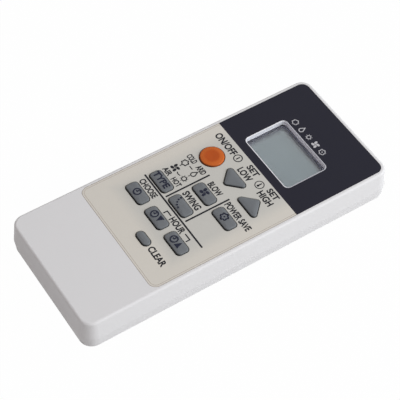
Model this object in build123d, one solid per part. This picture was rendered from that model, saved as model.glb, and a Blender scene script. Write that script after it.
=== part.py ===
from build123d import *
import os

# Air conditioner remote handset, lying on its back. Millimetres.
# Origin at the middle of the footprint, on the surface that the handset lies on.
# +X across the handset, +Y towards the display and the emitter, +Z out of the face.

# ---- case ----
case_corner_r = 5.8
back_height = 5.65         # from the rest face to the parting line
front_height = 9.35        # from the parting line to the white face
front_draft = 5.6          # degrees, walls lean in towards the face
back_draft = 5.2           # degrees, walls lean in towards the back
wall = 1.8
plate = 2.0                # face plate
floor = 1.6                # back floor
face_edge_r = 1.1
back_edge_r = 0.8
lip_height = 1.2
lip_thickness = 0.9
lip_gap = 0.2

# ---- face film ----
film_corner_r = 3.3
film_thickness = 0.4
film_sink = 0.1            # the film lies this far below the white face
film_gap = 0.1             # round the film, and round what comes through it
film_side = 2.5            # from the film to the side and the high end of the case
film_from_bay = 4.95       # from the inside of the battery bay to the film

# ---- keys ----
key_width = 10.9
key_depth = 5.2
key_corner_r = 1.4
key_side_gap = 3.3         # between two keys in a row
key_row_gap = 5.8          # between two rows of keys
power_dia = 9.9
power_gap = 5.35           # from the highest row of bar keys to the power key
triangle_width = 10.9
triangle_depth = 6.75
triangle_corner_r = 1.2
reset_width = 7.2
reset_depth = 3.4
reset_x = 5.6
reset_margin = 7.55        # from the film's low edge to the reset key
reset_gap = 5.2            # from the reset key to the lowest row
key_proud = 0.9            # key tops above the film
key_edge_r = 0.55
key_gap = 0.35             # round a key in its hole
key_travel = 0.8
pill_thickness = 0.4
pill_air = 0.1             # between a pill and the board with the key held down
pill_dia = 3.2

# ---- keypad mat ----
mat_thickness = 1.0
mat_side = 1.95            # mat beyond the keys at its two sides
mat_end = 3.4              # mat beyond the keys at its two ends
web_width = 0.8            # from the key's side to the edge of the mat's hole
web_thickness = 0.35
web_rise = 1.5
web_clear = 0.02
bar_width = 0.7            # bars under the plate that hold the mat down

# ---- circuit board ----
board_thickness = 1.0
board_bottom = 7.0
board_corner_r = 2.0
board_side_gap = 1.7       # from the board to the inside of the side walls
board_end_gap = 3.0        # from the board to the inside of the high end wall

# ---- display ----
opening_width = 29.7
opening_depth = 19.8
opening_corner_r = 1.9
display_gap = 11.2         # from the power key to the opening
display_margin = 18.9      # from the opening to the film's high edge
rim_width = 0.3            # white rim that stands up through the film
tunnel_wall = 1.0
tunnel_depth = 2.4         # from the white face to the clear window
window_thickness = 0.8
window_margin = 1.4        # the window and the glass are this much larger than the opening
polariser_thickness = 0.2
polariser_inset = 0.4      # the polarisers are this much smaller than the glass at each side
gasket_height = 1.0        # foam ring between the window and the front polariser
gasket_back = 0.1          # the foam ring stays this far behind the opening's edge
glass_thickness = 0.7
contact_ledge = 2.2        # strip of the front glass that the rear glass leaves free
contact_strip_width = 1.6
holder_wall = 1.2
holder_gap = 0.15

# ---- cells and their bay ----
cell_dia = 10.5
cell_length = 44.5
cell_nub_dia = 3.8
cell_nub = 0.8
cell_gap = 0.3
spring_length = 5.4
spring_wire = 0.5
spring_big_r = 3.6
spring_small_r = 2.1
spring_turns = 4
contact_thickness = 0.3
contact_height = 6.8
contact_width = 8.6
tail_width = 1.3
tail_on_board = 2.0        # how far the shorter tail reaches over the board
tail_gap = 0.3             # from the longer tail to the lowest bosses
notch_depth = 0.6          # notches for the tails in the bay's inner wall
bay_wall = 0.9
bay_roof = 0.5
bay_corner_r = 2.0
bay_inset = 3.85           # from the low end of the case to the inside of the bay
bay_side_room = 2.05       # from the bay's walls to the inside of the side walls
door_thickness = 1.4
door_lift = 0.15           # the door's outside stays clear of the rest face
door_gap = 0.2
door_side = 0.35           # the door is this much wider than the bay at each side
door_past_screw = 3.0      # from the case screws to the door's inner edge
tongue = 1.0
tongue_height = 0.7
rail_height = 3.2
rail_past_door = 1.2
grip_width = 16.0
grip_depth = 0.5
grip_ridges = 5
grip_pitch = 1.6

# ---- screws ----
screw_dia = 2.0
screw_fit = 0.1
screw_hole_gap = 0.3
screw_head_dia = 4.0
screw_head = 1.3
slot_length = 2.4
slot_width = 0.6
slot_depth = 0.5
boss_dia = 4.6
boss_gap = 0.3             # from the mat to the bosses for the board screws
boss_from_end = 5.2        # from the board's high end to the middle of the nearest screws
board_screw_length = 4.2
case_screw_length = 7.5
case_screw_from_bay = 4.15
board_from_case_screw = 3.45
pillar_dia = 6.0
pillar_gap = 0.45          # from the pillars of the case screws to the contacts' tails
pillar_top = 5.1
head_seat = 3.5

# ---- infrared emitter and window ----
emitter_dia = 5.0
emitter_flange_dia = 5.8
emitter_flange = 1.0
emitter_length = 7.8       # from the back of the flange to the tip of the dome
emitter_tip_gap = 0.6      # from the dome to the inside of the window
lead_dia = 0.5
lead_pitch = 2.54
lead_on_board = 4.0
ir_window_width = 16.0
ir_window_height = 5.0
ir_window_gap = 0.1

# ---- other parts under the board: places are from the middle of the power key's row ----
blob_dia = 11.0
blob_height = 1.6
blob_place = (-6.0, -5.4)
crystal_size = (8.0, 3.6, 3.2)
crystal_corner_r = 1.7
crystal_place = (9.0, -6.4)
reservoir_dia = 6.3
reservoir_height = 5.0
reservoir_edge_r = 0.4
reservoir_place = (12.0, 18.6)
transistor_size = (2.9, 1.6, 1.1)
transistor_corner_r = 0.2
transistor_place = (-8.0, 40.6)
chip_size = (2.0, 1.25, 0.55)
chip_pitch = 3.6
left_chips = (-18.0, -23.4)
right_chips = (12.0, -19.4)
emitter_chips = (-2.0, 38.6)

# ---- levels that follow from the sizes above ----
face_z = back_height + front_height
plate_z = face_z - plate
film_top = face_z - film_sink
film_bottom = film_top - film_thickness
key_top = film_top + key_proud
board_top = board_bottom + board_thickness
mat_top = board_top + mat_thickness
pill_bottom = board_top + key_travel + pill_air
key_bottom = pill_bottom + pill_thickness
window_top = face_z - tunnel_depth
window_bottom = window_top - window_thickness
polariser_top = window_bottom - gasket_height
front_glass_top = polariser_top - polariser_thickness
front_glass_bottom = front_glass_top - glass_thickness
rear_glass_bottom = front_glass_bottom - glass_thickness
reflector_bottom = rear_glass_bottom - polariser_thickness
door_top = door_lift + door_thickness
cell_z = door_top + door_gap + cell_dia / 2
bay_top = cell_z + cell_dia / 2 + door_gap
emitter_z = board_top + lead_dia / 2

# ---- rows and columns of the face, from the film's low edge and middle line ----
column_pitch = key_width + key_side_gap
row_pitch = key_depth + key_row_gap
reset_row = reset_margin + reset_depth / 2
timer_row = reset_row + reset_depth / 2 + reset_gap + key_depth / 2
power_row = timer_row + 2 * row_pitch + key_depth / 2 + power_gap + power_dia / 2
display_row = power_row + power_dia / 2 + display_gap + opening_depth / 2
film_length = display_row + opening_depth / 2 + display_margin
mat_low = reset_row - reset_depth / 2 - mat_end
mat_high = power_row + power_dia / 2 + mat_end

# ---- widths: the case holds both the board and the battery bay ----
mat_width = 2 * (column_pitch + key_width / 2 + mat_side)
board_screw_x = mat_width / 2 + boss_gap + boss_dia / 2
board_width = 2 * (board_screw_x + boss_dia / 2)
bay_half_x = (cell_length + spring_length + 2 * contact_thickness) / 2
case_screw_x = bay_half_x - contact_thickness - pillar_gap - pillar_dia / 2
board_room = board_width + 2 * board_side_gap
bay_room = 2 * (bay_half_x + bay_wall + bay_side_room)
case_width = max(board_room, bay_room) + 2 * wall
film_width = case_width - 2 * film_side
door_half_width = bay_half_x + door_side

# ---- lengths: the bay at the low end, then the film ----
bay_length = 2 * cell_dia + 3 * cell_gap
bare_end = bay_inset + bay_length + film_from_bay
case_length = bare_end + film_length + film_side
low_end = -case_length / 2
high_end = case_length / 2
film_low = low_end + bare_end
bay_low = low_end + bay_inset
bay_high = bay_low + bay_length
cell_low_y = bay_low + cell_gap + cell_dia / 2
cell_high_y = cell_low_y + cell_dia + cell_gap
case_screw_row = bay_high + case_screw_from_bay
door_end = case_screw_row + door_past_screw
board_low = case_screw_row + board_from_case_screw
board_high = high_end - wall - board_end_gap
pane_width = opening_width + 2 * window_margin
pane_depth = opening_depth + 2 * window_margin
screen_y = film_low + display_row
low_screw_row = board_low + 2 * tail_on_board + tail_gap + boss_dia / 2
middle_screw_row = film_low + mat_high - mat_end / 2
high_screw_row = board_high - boss_from_end

# key name: outline, column, row (both from the film)
keys = {
    "power_key": ("round", -column_pitch, power_row),
    "temperature_down_key": ("triangle_down", 0.0, power_row),
    "temperature_up_key": ("triangle_up", column_pitch, power_row),
    "fan_key": ("bar", 0.0, timer_row + 2 * row_pitch),
    "eco_key": ("bar", column_pitch, timer_row + 2 * row_pitch),
    "mode_key": ("bar", -column_pitch, timer_row + row_pitch),
    "swing_key": ("bar", 0.0, timer_row + row_pitch),
    "timer_set_key": ("bar", -column_pitch, timer_row),
    "timer_down_key": ("bar", 0.0, timer_row),
    "timer_up_key": ("bar", column_pitch, timer_row),
    "reset_key": ("oval", reset_x, reset_row),
}


def box(x0, x1, y0, y1, z0, z1):
    """A box between two corners."""
    middle = ((x0 + x1) / 2, (y0 + y1) / 2, (z0 + z1) / 2)
    return Pos(*middle) * Box(x1 - x0, y1 - y0, z1 - z0)


def disc(x, y, z0, z1, dia):
    """An upright cylinder between two levels."""
    return Pos(x, y, (z0 + z1) / 2) * Cylinder(dia / 2, z1 - z0)


def slab(width, depth, corner_r, x, y, z0, z1):
    """A plate with round corners between two levels."""
    return Pos(x, y, z0) * extrude(RectangleRounded(width, depth, corner_r), amount=z1 - z0)


def triangle(turn, grow):
    """A triangle with round corners, its outline grown by a margin, turned about its middle."""
    half = triangle_width / 2 - triangle_corner_r
    tip = triangle_depth / 2 - triangle_corner_r
    corners = Polygon((-half, -tip), (half, -tip), (0, tip), align=None)
    return Rot(0, 0, turn) * offset(corners, amount=triangle_corner_r + grow)


def key_outline(shape, grow=0.0):
    """The outline of a key about its own middle, grown by a margin."""
    if shape == "round":
        return Circle(power_dia / 2 + grow)
    if shape == "oval":
        return SlotOverall(reset_width + 2 * grow, reset_depth + 2 * grow)
    if shape == "triangle_down":
        return triangle(180, grow)
    if shape == "triangle_up":
        return triangle(0, grow)
    return RectangleRounded(key_width + 2 * grow, key_depth + 2 * grow, key_corner_r + grow)


def key_place(name):
    """The middle of a key."""
    column, row = keys[name][1:]
    return column, film_low + row


def key_prism(name, grow, z0, z1):
    """A straight prism with a key's outline, where the key stands."""
    x, y = key_place(name)
    return Pos(x, y, z0) * extrude(key_outline(keys[name][0], grow), amount=z1 - z0)


def case_plan(inset=0.0):
    """The outline of the case at the parting line, drawn in by a margin."""
    width = case_width - 2 * inset
    length = case_length - 2 * inset
    return Pos(0, 0, back_height) * RectangleRounded(width, length, case_corner_r - inset)


def front_envelope():
    """The outside of the front case as one solid."""
    body = extrude(case_plan(), amount=front_height, taper=front_draft)
    return fillet(body.faces().sort_by(Axis.Z)[-1].edges(), face_edge_r)


def back_envelope():
    """The outside of the back case and the door as one solid."""
    body = extrude(case_plan(), amount=-back_height, taper=back_draft)
    return fillet(body.faces().sort_by(Axis.Z)[0].edges(), back_edge_r)


def front_room():
    """The room inside the front case."""
    return extrude(case_plan(wall), amount=front_height - plate, taper=front_draft)


def back_room():
    """The room inside the back case."""
    return extrude(case_plan(wall), amount=floor - back_height, taper=back_draft)


def film_plan(margin):
    """The outline of the film, grown by a margin."""
    return RectangleRounded(film_width + 2 * margin, film_length + 2 * margin, film_corner_r + margin)


def board_screw_places():
    """Where the screws that hold the board stand."""
    rows = (low_screw_row, middle_screw_row, high_screw_row)
    return [(side * board_screw_x, y) for y in rows for side in (-1, 1)]


def case_screw_places():
    """Where the screws that hold the two shells together stand."""
    return [(side * case_screw_x, case_screw_row) for side in (-1, 1)]


def hold_down_bars():
    """Bars under the face plate that press the keypad mat onto the board."""
    half = mat_width / 2
    half_bar = bar_width / 2
    low = film_low + mat_low
    high = film_low + mat_high
    between = column_pitch / 2
    reset_clear = film_low + reset_row + reset_depth / 2 + 2 * web_width
    bars = box(-between - half_bar, -between + half_bar, low, high, mat_top, plate_z)
    bars += box(between - half_bar, between + half_bar, reset_clear, high, mat_top, plate_z)
    for side in (-1, 1):
        edge = side * (half - half_bar)
        bars += box(edge - half_bar, edge + half_bar, low, high, mat_top, plate_z)
    rows = [mat_low + half_bar, mat_high - half_bar]
    rows += [timer_row + (step + 0.5) * row_pitch for step in (0, 1)]
    rows += [(reset_row + reset_depth / 2 + timer_row - key_depth / 2) / 2]
    rows += [(timer_row + 2 * row_pitch + key_depth / 2 + power_row - power_dia / 2) / 2]
    for row in rows:
        y = film_low + row
        bars += box(-half, half, y - half_bar, y + half_bar, mat_top, plate_z)
    return bars


def make_front_case():
    """White upper shell with the film's recess, the key holes and the display opening."""
    shell = front_envelope() - front_room()
    shell -= Pos(0, film_low + film_length / 2, film_bottom) * extrude(film_plan(film_gap), amount=plate)
    rim_top = slab(opening_width + 2 * rim_width, opening_depth + 2 * rim_width,
                   opening_corner_r + rim_width, 0, screen_y, film_bottom, film_top)
    tunnel = slab(opening_width + 2 * tunnel_wall, opening_depth + 2 * tunnel_wall,
                  opening_corner_r + tunnel_wall, 0, screen_y, window_top, film_bottom)
    shell = shell + rim_top + tunnel + hold_down_bars()
    for x, y in board_screw_places():
        shell += disc(x, y, board_top, plate_z, boss_dia)
    for x, y in case_screw_places():
        shell += disc(x, y, pillar_top, plate_z, boss_dia)
    for x, y in board_screw_places():
        reach = board_bottom + board_screw_length + screw_fit
        shell -= disc(x, y, board_top, reach, screw_dia + screw_fit)
    for x, y in case_screw_places():
        reach = head_seat + case_screw_length + screw_fit
        shell -= disc(x, y, pillar_top, reach, screw_dia + screw_fit)
    shell -= slab(opening_width, opening_depth, opening_corner_r, 0, screen_y, back_height, face_z)
    for name in keys:
        shell -= key_prism(name, key_gap, mat_top, face_z)
    shell -= ir_window_block(ir_window_gap)
    return shell


def make_back_case():
    """White lower shell with the battery bay, the door's rails and the screw pillars."""
    shell = back_envelope() - back_room()
    rail_end = door_end + tongue + rail_past_door
    rails = box(-case_width, case_width, low_end, rail_end, 0, rail_height)
    shell += rails & back_envelope()
    shell += lip()
    shell += slab(2 * (bay_half_x + bay_wall), bay_high - bay_low + 2 * bay_wall, bay_corner_r,
                  0, (bay_low + bay_high) / 2, door_top + door_gap, bay_top + bay_roof)
    for x, y in case_screw_places():
        shell += disc(x, y, floor, pillar_top, pillar_dia)
    shell -= box(-bay_half_x, bay_half_x, bay_low, bay_high, 0, bay_top)
    shell -= door_slot()
    for x, y in case_screw_places():
        shell -= disc(x, y, 0, pillar_top, screw_dia + screw_hole_gap)
        shell -= disc(x, y, 0, head_seat, screw_head_dia + 2 * screw_hole_gap)
    shell -= tail_slots()
    return shell


def lip():
    """Lip of the back case that stands inside the front case."""
    outer = extrude(case_plan(wall + lip_gap), amount=lip_height, taper=front_draft)
    foot = extrude(case_plan(wall - lip_gap), amount=-lip_height, taper=back_draft)
    middle = extrude(case_plan(wall + lip_gap + lip_thickness), amount=2 * lip_height, both=True)
    ring = outer + foot - middle
    half = ir_window_width / 2 + ir_window_gap
    return ring - box(-half, half, 0, case_length, back_height, back_height + 2 * lip_height)


def door_slot():
    """What the battery door and its tongues take out of the back case."""
    far = low_end - door_gap
    side = door_half_width + door_gap
    groove = side + tongue
    inner = door_end + door_gap
    top = door_top + door_gap
    groove_low = door_top - tongue_height - door_gap
    slot = box(-side, side, far, inner, 0, top)
    slot += box(-groove, groove, far, inner, groove_low, top)
    slot += box(-side + tongue, side - tongue, far, inner + tongue, groove_low, top)
    return slot


def make_battery_door():
    """Door in the back that slides off at the low end."""
    inner = door_end
    skin = box(-door_half_width, door_half_width, low_end, inner, door_lift, door_top)
    half = door_half_width + tongue
    tongues = box(-half, half, low_end, inner, door_top - tongue_height, door_top)
    half = door_half_width - tongue
    end_tab = box(-half, half, inner, inner + tongue, door_top - tongue_height, door_top)
    door = (skin + tongues + end_tab) & back_envelope()
    for ridge in range(grip_ridges):
        y = (low_end + door_end) / 2 + (ridge - (grip_ridges - 1) / 2) * grip_pitch
        quarter = grip_pitch / 4
        door -= box(-grip_width / 2, grip_width / 2, y - quarter, y + quarter, 0, door_lift + grip_depth)
    return door


def make_face_film():
    """Printed sheet on the face, cut out for the keys and the display."""
    film = Pos(0, film_low + film_length / 2, film_bottom) * extrude(film_plan(0), amount=film_thickness)
    margin = 2 * (rim_width + film_gap)
    film -= slab(opening_width + margin, opening_depth + margin, opening_corner_r + margin / 2,
                 0, screen_y, 0, face_z)
    for name in keys:
        film -= key_prism(name, key_gap + film_gap, 0, face_z)
    return film


def make_keypad_mat():
    """Rubber sheet on the board, open under every key."""
    middle = film_low + (mat_low + mat_high) / 2
    mat = slab(mat_width, mat_high - mat_low, board_corner_r, 0, middle, board_top, mat_top)
    for name in keys:
        mat -= key_prism(name, web_width, 0, face_z)
    return mat


def make_key(name):
    """Rubber key with softened top edges."""
    key = key_prism(name, 0.0, key_bottom, key_top)
    return fillet(key.faces().sort_by(Axis.Z)[-1].edges(), key_edge_r)


def make_pill(name):
    """Carbon pill that closes the contact on the board."""
    x, y = key_place(name)
    return disc(x, y, pill_bottom, key_bottom, pill_dia)


def make_web(name):
    """Thin flexing skirt that carries a key above the mat."""
    shape = keys[name][0]
    x, y = key_place(name)
    low_z = mat_top - web_thickness
    high_z = low_z + web_rise

    def skirt(low_grow, high_grow):
        low = Pos(0, 0, low_z) * key_outline(shape, low_grow)
        high = Pos(0, 0, high_z) * key_outline(shape, high_grow)
        return loft([low.face(), high.face()], ruled=True)

    outer = skirt(web_width, web_thickness + web_clear)
    inner = skirt(web_width - web_thickness, web_clear)
    return Pos(x, y, 0) * (outer - inner)


def make_circuit_board():
    """Board with a notch for the emitter and holes for its screws."""
    middle = (board_low + board_high) / 2
    board = slab(board_width, board_high - board_low, board_corner_r, 0, middle, board_bottom, board_top)
    half = emitter_flange_dia / 2 + ir_window_gap
    board -= box(-half, half, emitter_back(), case_length, 0, face_z)
    for x, y in board_screw_places():
        board -= disc(x, y, 0, face_z, screw_dia + screw_hole_gap)
    return board


def ir_window_block(margin):
    """The piece of the top end wall that the infrared window takes, grown by a margin."""
    half = ir_window_width / 2 + margin
    top = back_height + ir_window_height + margin
    band = box(-half, half, case_length / 4, case_length, back_height, top)
    return (front_envelope() - front_room()) & band


def make_display_window():
    """Clear window under the opening in the face."""
    return slab(pane_width, pane_depth, opening_corner_r, 0, screen_y, window_bottom, window_top)


def rear_pane(z0, z1, inset):
    """A sheet behind the front glass, which leaves the contact ledge free."""
    low = screen_y - pane_depth / 2 + contact_ledge + inset
    high = screen_y + pane_depth / 2 - inset
    half = pane_width / 2 - inset
    return box(-half, half, low, high, z0, z1)


def make_display_polarisers():
    """Front polariser and rear reflector of the display."""
    front = slab(pane_width - 2 * polariser_inset, pane_depth - 2 * polariser_inset, opening_corner_r,
                 0, screen_y, front_glass_top, polariser_top)
    return Compound([front, rear_pane(reflector_bottom, rear_glass_bottom, polariser_inset)])


def make_display_gasket():
    """Foam ring that keeps dust out of the gap between the window and the display."""
    ring = slab(pane_width - 2 * polariser_inset, pane_depth - 2 * polariser_inset, opening_corner_r,
                0, screen_y, polariser_top, window_bottom)
    inside = slab(opening_width + 2 * gasket_back, opening_depth + 2 * gasket_back, opening_corner_r,
                  0, screen_y, polariser_top, window_bottom)
    return ring - inside


def make_display_glass():
    """Front and rear glass of the display."""
    half_x = pane_width / 2
    half_y = pane_depth / 2
    front = box(-half_x, half_x, screen_y - half_y, screen_y + half_y, front_glass_bottom, front_glass_top)
    return Compound([front, rear_pane(rear_glass_bottom, front_glass_bottom, 0)])


def make_display_holder():
    """Frame on the board that carries the display and its window."""
    inner_x = pane_width / 2 + holder_gap
    inner_y = pane_depth / 2 + holder_gap
    outer_x = inner_x + holder_wall
    outer_y = inner_y + holder_wall
    frame = box(-outer_x, outer_x, screen_y - outer_y, screen_y + outer_y, board_top, plate_z)
    frame -= box(-inner_x, inner_x, screen_y - inner_y, screen_y + inner_y, reflector_bottom, face_z)
    low = screen_y - inner_y
    high = screen_y + opening_depth / 2
    half = opening_width / 2
    frame -= box(-half, half, low, high, board_top, face_z)
    return frame


def make_contact_strip():
    """Rubber strip that joins the display's contacts to the board."""
    y = screen_y - pane_depth / 2 + contact_ledge / 2
    half = opening_width / 2 - holder_gap
    reach = contact_strip_width / 2
    return box(-half, half, y - reach, y + reach, board_top, front_glass_bottom)


def cell(plus_side, y):
    """One AAA cell lying across the handset."""
    nub_x = plus_side * (bay_half_x - contact_thickness)
    can_x = nub_x - plus_side * cell_nub
    flat_x = nub_x - plus_side * cell_length
    can_length = cell_length - cell_nub
    turn = Rot(0, 90, 0)
    can = Pos((can_x + flat_x) / 2, y, cell_z) * turn * Cylinder(cell_dia / 2, can_length)
    can = fillet(can.edges(), cell_nub / 2)
    nub = Pos((nub_x + can_x) / 2, y, cell_z) * turn * Cylinder(cell_nub_dia / 2, cell_nub)
    return can + nub


def make_cells():
    """The two cells, which point opposite ways."""
    return Compound([cell(-1, cell_low_y), cell(1, cell_high_y)])


def contact_blade(side, y):
    """Flat contact that stands against an end wall of the bay."""
    outer = side * bay_half_x
    inner = side * (bay_half_x - contact_thickness)
    half = contact_width / 2
    z0 = cell_z - contact_height / 2
    z1 = cell_z + contact_height / 2
    return box(min(outer, inner), max(outer, inner), y - half, y + half, z0, z1)


def make_bridge_contact():
    """Plate that joins the two cells at the right end of the bay."""
    plate_part = contact_blade(1, cell_low_y) + contact_blade(1, cell_high_y)
    join_z = cell_z + contact_height / 2
    inner = bay_half_x - contact_thickness
    return plate_part + box(inner, bay_half_x, cell_low_y, cell_high_y, join_z - tail_width, join_z)


def tail(low_y, high_y, z0, z1):
    """Flat tail of a left contact that runs towards the board."""
    return box(-bay_half_x, -bay_half_x + contact_thickness, low_y, high_y, z0, z1)


def minus_tail_end():
    """Where the minus contact's tail ends on the board."""
    return board_low + tail_on_board


def plus_tail_end():
    """Where the plus contact's tail comes down on the board."""
    return minus_tail_end() + tail_on_board


def make_minus_contact():
    """Left contact of the cell nearer the board, with a tail that lies on the board."""
    blade = contact_blade(-1, cell_high_y)
    return blade + tail(cell_high_y, minus_tail_end(), board_top, board_top + tail_width)


def make_plus_contact():
    """Left contact of the cell at the low end, with a tail that passes over the other contact."""
    roof_z = bay_top - 2 * contact_thickness
    upper = tail(cell_low_y, plus_tail_end(), roof_z - tail_width, roof_z)
    riser = tail(cell_low_y - tail_width, cell_low_y + tail_width, cell_z, roof_z)
    foot = tail(plus_tail_end() - tail_width, plus_tail_end(), board_top, roof_z)
    return contact_blade(-1, cell_low_y) + riser + upper + foot


def tail_slots():
    """Notches in the bay's inner wall for the two tails."""
    z0 = board_top - contact_thickness
    inner = -bay_half_x + notch_depth
    return box(-bay_half_x, inner, bay_high - bay_wall, bay_high + 2 * bay_wall, z0, bay_top)


def spring(side, y):
    """Conical spring between a contact and the flat end of a cell."""
    wire_r = spring_wire / 2
    height = spring_length - spring_wire
    shrink = degrees_of_cone(spring_big_r - spring_small_r, height)
    start = side * (bay_half_x - contact_thickness - wire_r)
    path = Helix(pitch=height / spring_turns, height=height, radius=spring_big_r, cone_angle=-shrink)
    section = Plane(origin=path @ 0, z_dir=path % 0) * Circle(wire_r)
    coil = sweep(section, path=path, is_frenet=True)
    return Pos(start, y, cell_z) * Rot(0, -90 * side, 0) * coil


def degrees_of_cone(run, rise):
    """Half angle of a cone, from the change of radius over its height."""
    return Vector(0, 0, 1).get_angle(Vector(run, 0, rise))


def make_contact_springs():
    """The two springs, one for each cell."""
    return Compound([spring(1, cell_low_y), spring(-1, cell_high_y)])


def screw(x, y, seat, length):
    """Pan head screw whose head lies below its seat, pointing up."""
    head = disc(x, y, seat - screw_head, seat, screw_head_dia)
    head = fillet(head.faces().sort_by(Axis.Z)[0].edges(), screw_head / 3)
    for turn in (0, 90):
        slot = Pos(x, y, seat - screw_head) * Rot(0, 0, turn)
        head -= slot * Box(slot_length, slot_width, 2 * slot_depth)
    return head + disc(x, y, seat, seat + length, screw_dia)


def make_board_screws():
    """Screws that hold the board to the front case."""
    places = board_screw_places()
    return Compound([screw(x, y, board_bottom, board_screw_length) for x, y in places])


def make_case_screws():
    """Screws under the battery door that hold the two shells together."""
    places = case_screw_places()
    return Compound([screw(x, y, head_seat, case_screw_length) for x, y in places])


def emitter_back():
    """Y of the back of the emitter's flange."""
    return high_end - wall - emitter_tip_gap - emitter_length


def make_ir_emitter():
    """Clear infrared emitter lying in the board's notch."""
    back = emitter_back()
    radius = emitter_dia / 2
    straight = emitter_length - radius
    turn = Rot(-90, 0, 0)
    body = Pos(0, back + straight / 2, emitter_z) * turn * Cylinder(radius, straight)
    body += Pos(0, back + straight, emitter_z) * Sphere(radius)
    flange = turn * Cylinder(emitter_flange_dia / 2, emitter_flange)
    flange = Pos(0, back + emitter_flange / 2, emitter_z) * flange
    return body + flange


def make_emitter_leads():
    """The emitter's two leads, which lie on the board."""
    back = emitter_back()
    turn = Rot(-90, 0, 0)
    lead = Cylinder(lead_dia / 2, lead_on_board)
    y = back - lead_on_board / 2
    return Compound([Pos(side * lead_pitch / 2, y, emitter_z) * turn * lead for side in (-1, 1)])


def under_board(place):
    """A place under the board, given from the middle of the power key's row."""
    x, row = place
    return x, film_low + power_row + row


def chip_grid(place, columns, rows):
    """The middles of a block of chips, from its low left one."""
    x, y = under_board(place)
    steps = [(column, row) for column in range(columns) for row in range(rows)]
    return [(x + column * chip_pitch, y + row * chip_pitch) for column, row in steps]


def make_controller_blob():
    """Black resin drop over the controller, under the board."""
    dome_r = (blob_dia ** 2 / 4 + blob_height ** 2) / (2 * blob_height)
    x, y = under_board(blob_place)
    place = Pos(x, y, board_bottom)
    ball = place * Pos(0, 0, dome_r - blob_height) * Sphere(dome_r)
    return ball & (place * Pos(0, 0, -blob_height / 2) * Cylinder(blob_dia, blob_height))


def make_crystal():
    """Metal can of the crystal, under the board."""
    width, depth, height = crystal_size
    x, y = under_board(crystal_place)
    return slab(width, depth, crystal_corner_r, x, y, board_bottom - height, board_bottom)


def make_reservoir_capacitor():
    """Capacitor that carries the emitter's pulses, under the board."""
    x, y = under_board(reservoir_place)
    can = disc(x, y, board_bottom - reservoir_height, board_bottom, reservoir_dia)
    return fillet(can.faces().sort_by(Axis.Z)[0].edges(), reservoir_edge_r)


def make_emitter_transistor():
    """Transistor that drives the emitter, under the board."""
    width, depth, height = transistor_size
    x, y = under_board(transistor_place)
    return slab(width, depth, transistor_corner_r, x, y, board_bottom - height, board_bottom)


def make_chip_components():
    """Chip resistors and chip capacitors under the board."""
    width, depth, height = chip_size
    spots = chip_grid(left_chips, 3, 3) + chip_grid(right_chips, 2, 2) + chip_grid(emitter_chips, 2, 1)
    z0 = board_bottom - height
    chips = []
    for x, y in spots:
        chips.append(box(x - width / 2, x + width / 2, y - depth / 2, y + depth / 2, z0, board_bottom))
    return Compound(chips)


pieces = {
    "front_case": make_front_case(),
    "back_case": make_back_case(),
    "battery_door": make_battery_door(),
    "face_film": make_face_film(),
    "display_window": make_display_window(),
    "display_polarisers": make_display_polarisers(),
    "display_gasket": make_display_gasket(),
    "display_glass": make_display_glass(),
    "display_holder": make_display_holder(),
    "contact_strip": make_contact_strip(),
    "keypad_mat": make_keypad_mat(),
    "circuit_board": make_circuit_board(),
    "controller_blob": make_controller_blob(),
    "crystal": make_crystal(),
    "reservoir_capacitor": make_reservoir_capacitor(),
    "emitter_transistor": make_emitter_transistor(),
    "chip_components": make_chip_components(),
    "ir_emitter": make_ir_emitter(),
    "emitter_leads": make_emitter_leads(),
    "ir_window": ir_window_block(0),
    "cells": make_cells(),
    "bridge_contact": make_bridge_contact(),
    "plus_contact": make_plus_contact(),
    "minus_contact": make_minus_contact(),
    "contact_springs": make_contact_springs(),
    "board_screws": make_board_screws(),
    "case_screws": make_case_screws(),
}
for key_name in keys:
    stem = key_name.replace("_key", "")
    pieces[key_name] = make_key(key_name)
    pieces[stem + "_pill"] = make_pill(key_name)
    pieces[stem + "_web"] = make_web(key_name)

os.makedirs("parts", exist_ok=True)
for node, shape in pieces.items():
    export_step(shape, "parts/" + node + ".step")
print(len(pieces), "nodes written")
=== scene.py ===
import bmesh
import bpy
import numpy as np
from mathutils import Matrix, Vector


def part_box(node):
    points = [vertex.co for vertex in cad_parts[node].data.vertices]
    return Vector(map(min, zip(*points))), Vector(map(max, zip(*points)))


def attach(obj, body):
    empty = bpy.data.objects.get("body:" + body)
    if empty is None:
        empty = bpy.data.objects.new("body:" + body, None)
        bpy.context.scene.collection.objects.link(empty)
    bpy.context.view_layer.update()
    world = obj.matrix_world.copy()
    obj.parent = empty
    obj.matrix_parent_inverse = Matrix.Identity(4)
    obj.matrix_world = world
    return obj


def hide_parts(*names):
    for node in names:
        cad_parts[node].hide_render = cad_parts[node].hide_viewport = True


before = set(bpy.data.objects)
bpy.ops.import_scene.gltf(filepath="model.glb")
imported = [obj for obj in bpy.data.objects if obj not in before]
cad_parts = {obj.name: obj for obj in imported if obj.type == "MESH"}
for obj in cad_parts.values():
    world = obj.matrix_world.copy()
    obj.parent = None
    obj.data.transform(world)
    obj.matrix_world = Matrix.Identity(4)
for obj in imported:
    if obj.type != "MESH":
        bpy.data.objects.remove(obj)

# Handset of a room air conditioner, lying on its back. Metres, except where a value says mm.
# +X across the handset, +Y towards the display, +Z out of the face.

mm = 0.001
turn = 2 * np.pi
mergeWithin = 1e-7                      # metres
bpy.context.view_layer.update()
print("frame:", len(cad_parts), "nodes")


def boxInMm(node):
    # lowest and highest corner of a node, in mm
    return [np.array(corner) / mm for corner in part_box(node)]


def gridFaces(rows, columns, closedRows):
    # cells of a grid whose columns always close on themselves, and whose rows do so if asked
    i, j = np.meshgrid(np.arange(rows if closedRows else rows - 1), np.arange(columns), indexing="ij")
    below = (i + 1) % rows
    right = (j + 1) % columns
    cells = np.stack([i * columns + j, i * columns + right, below * columns + right, below * columns + j], -1)
    return cells.reshape(-1, 4).tolist()


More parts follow.
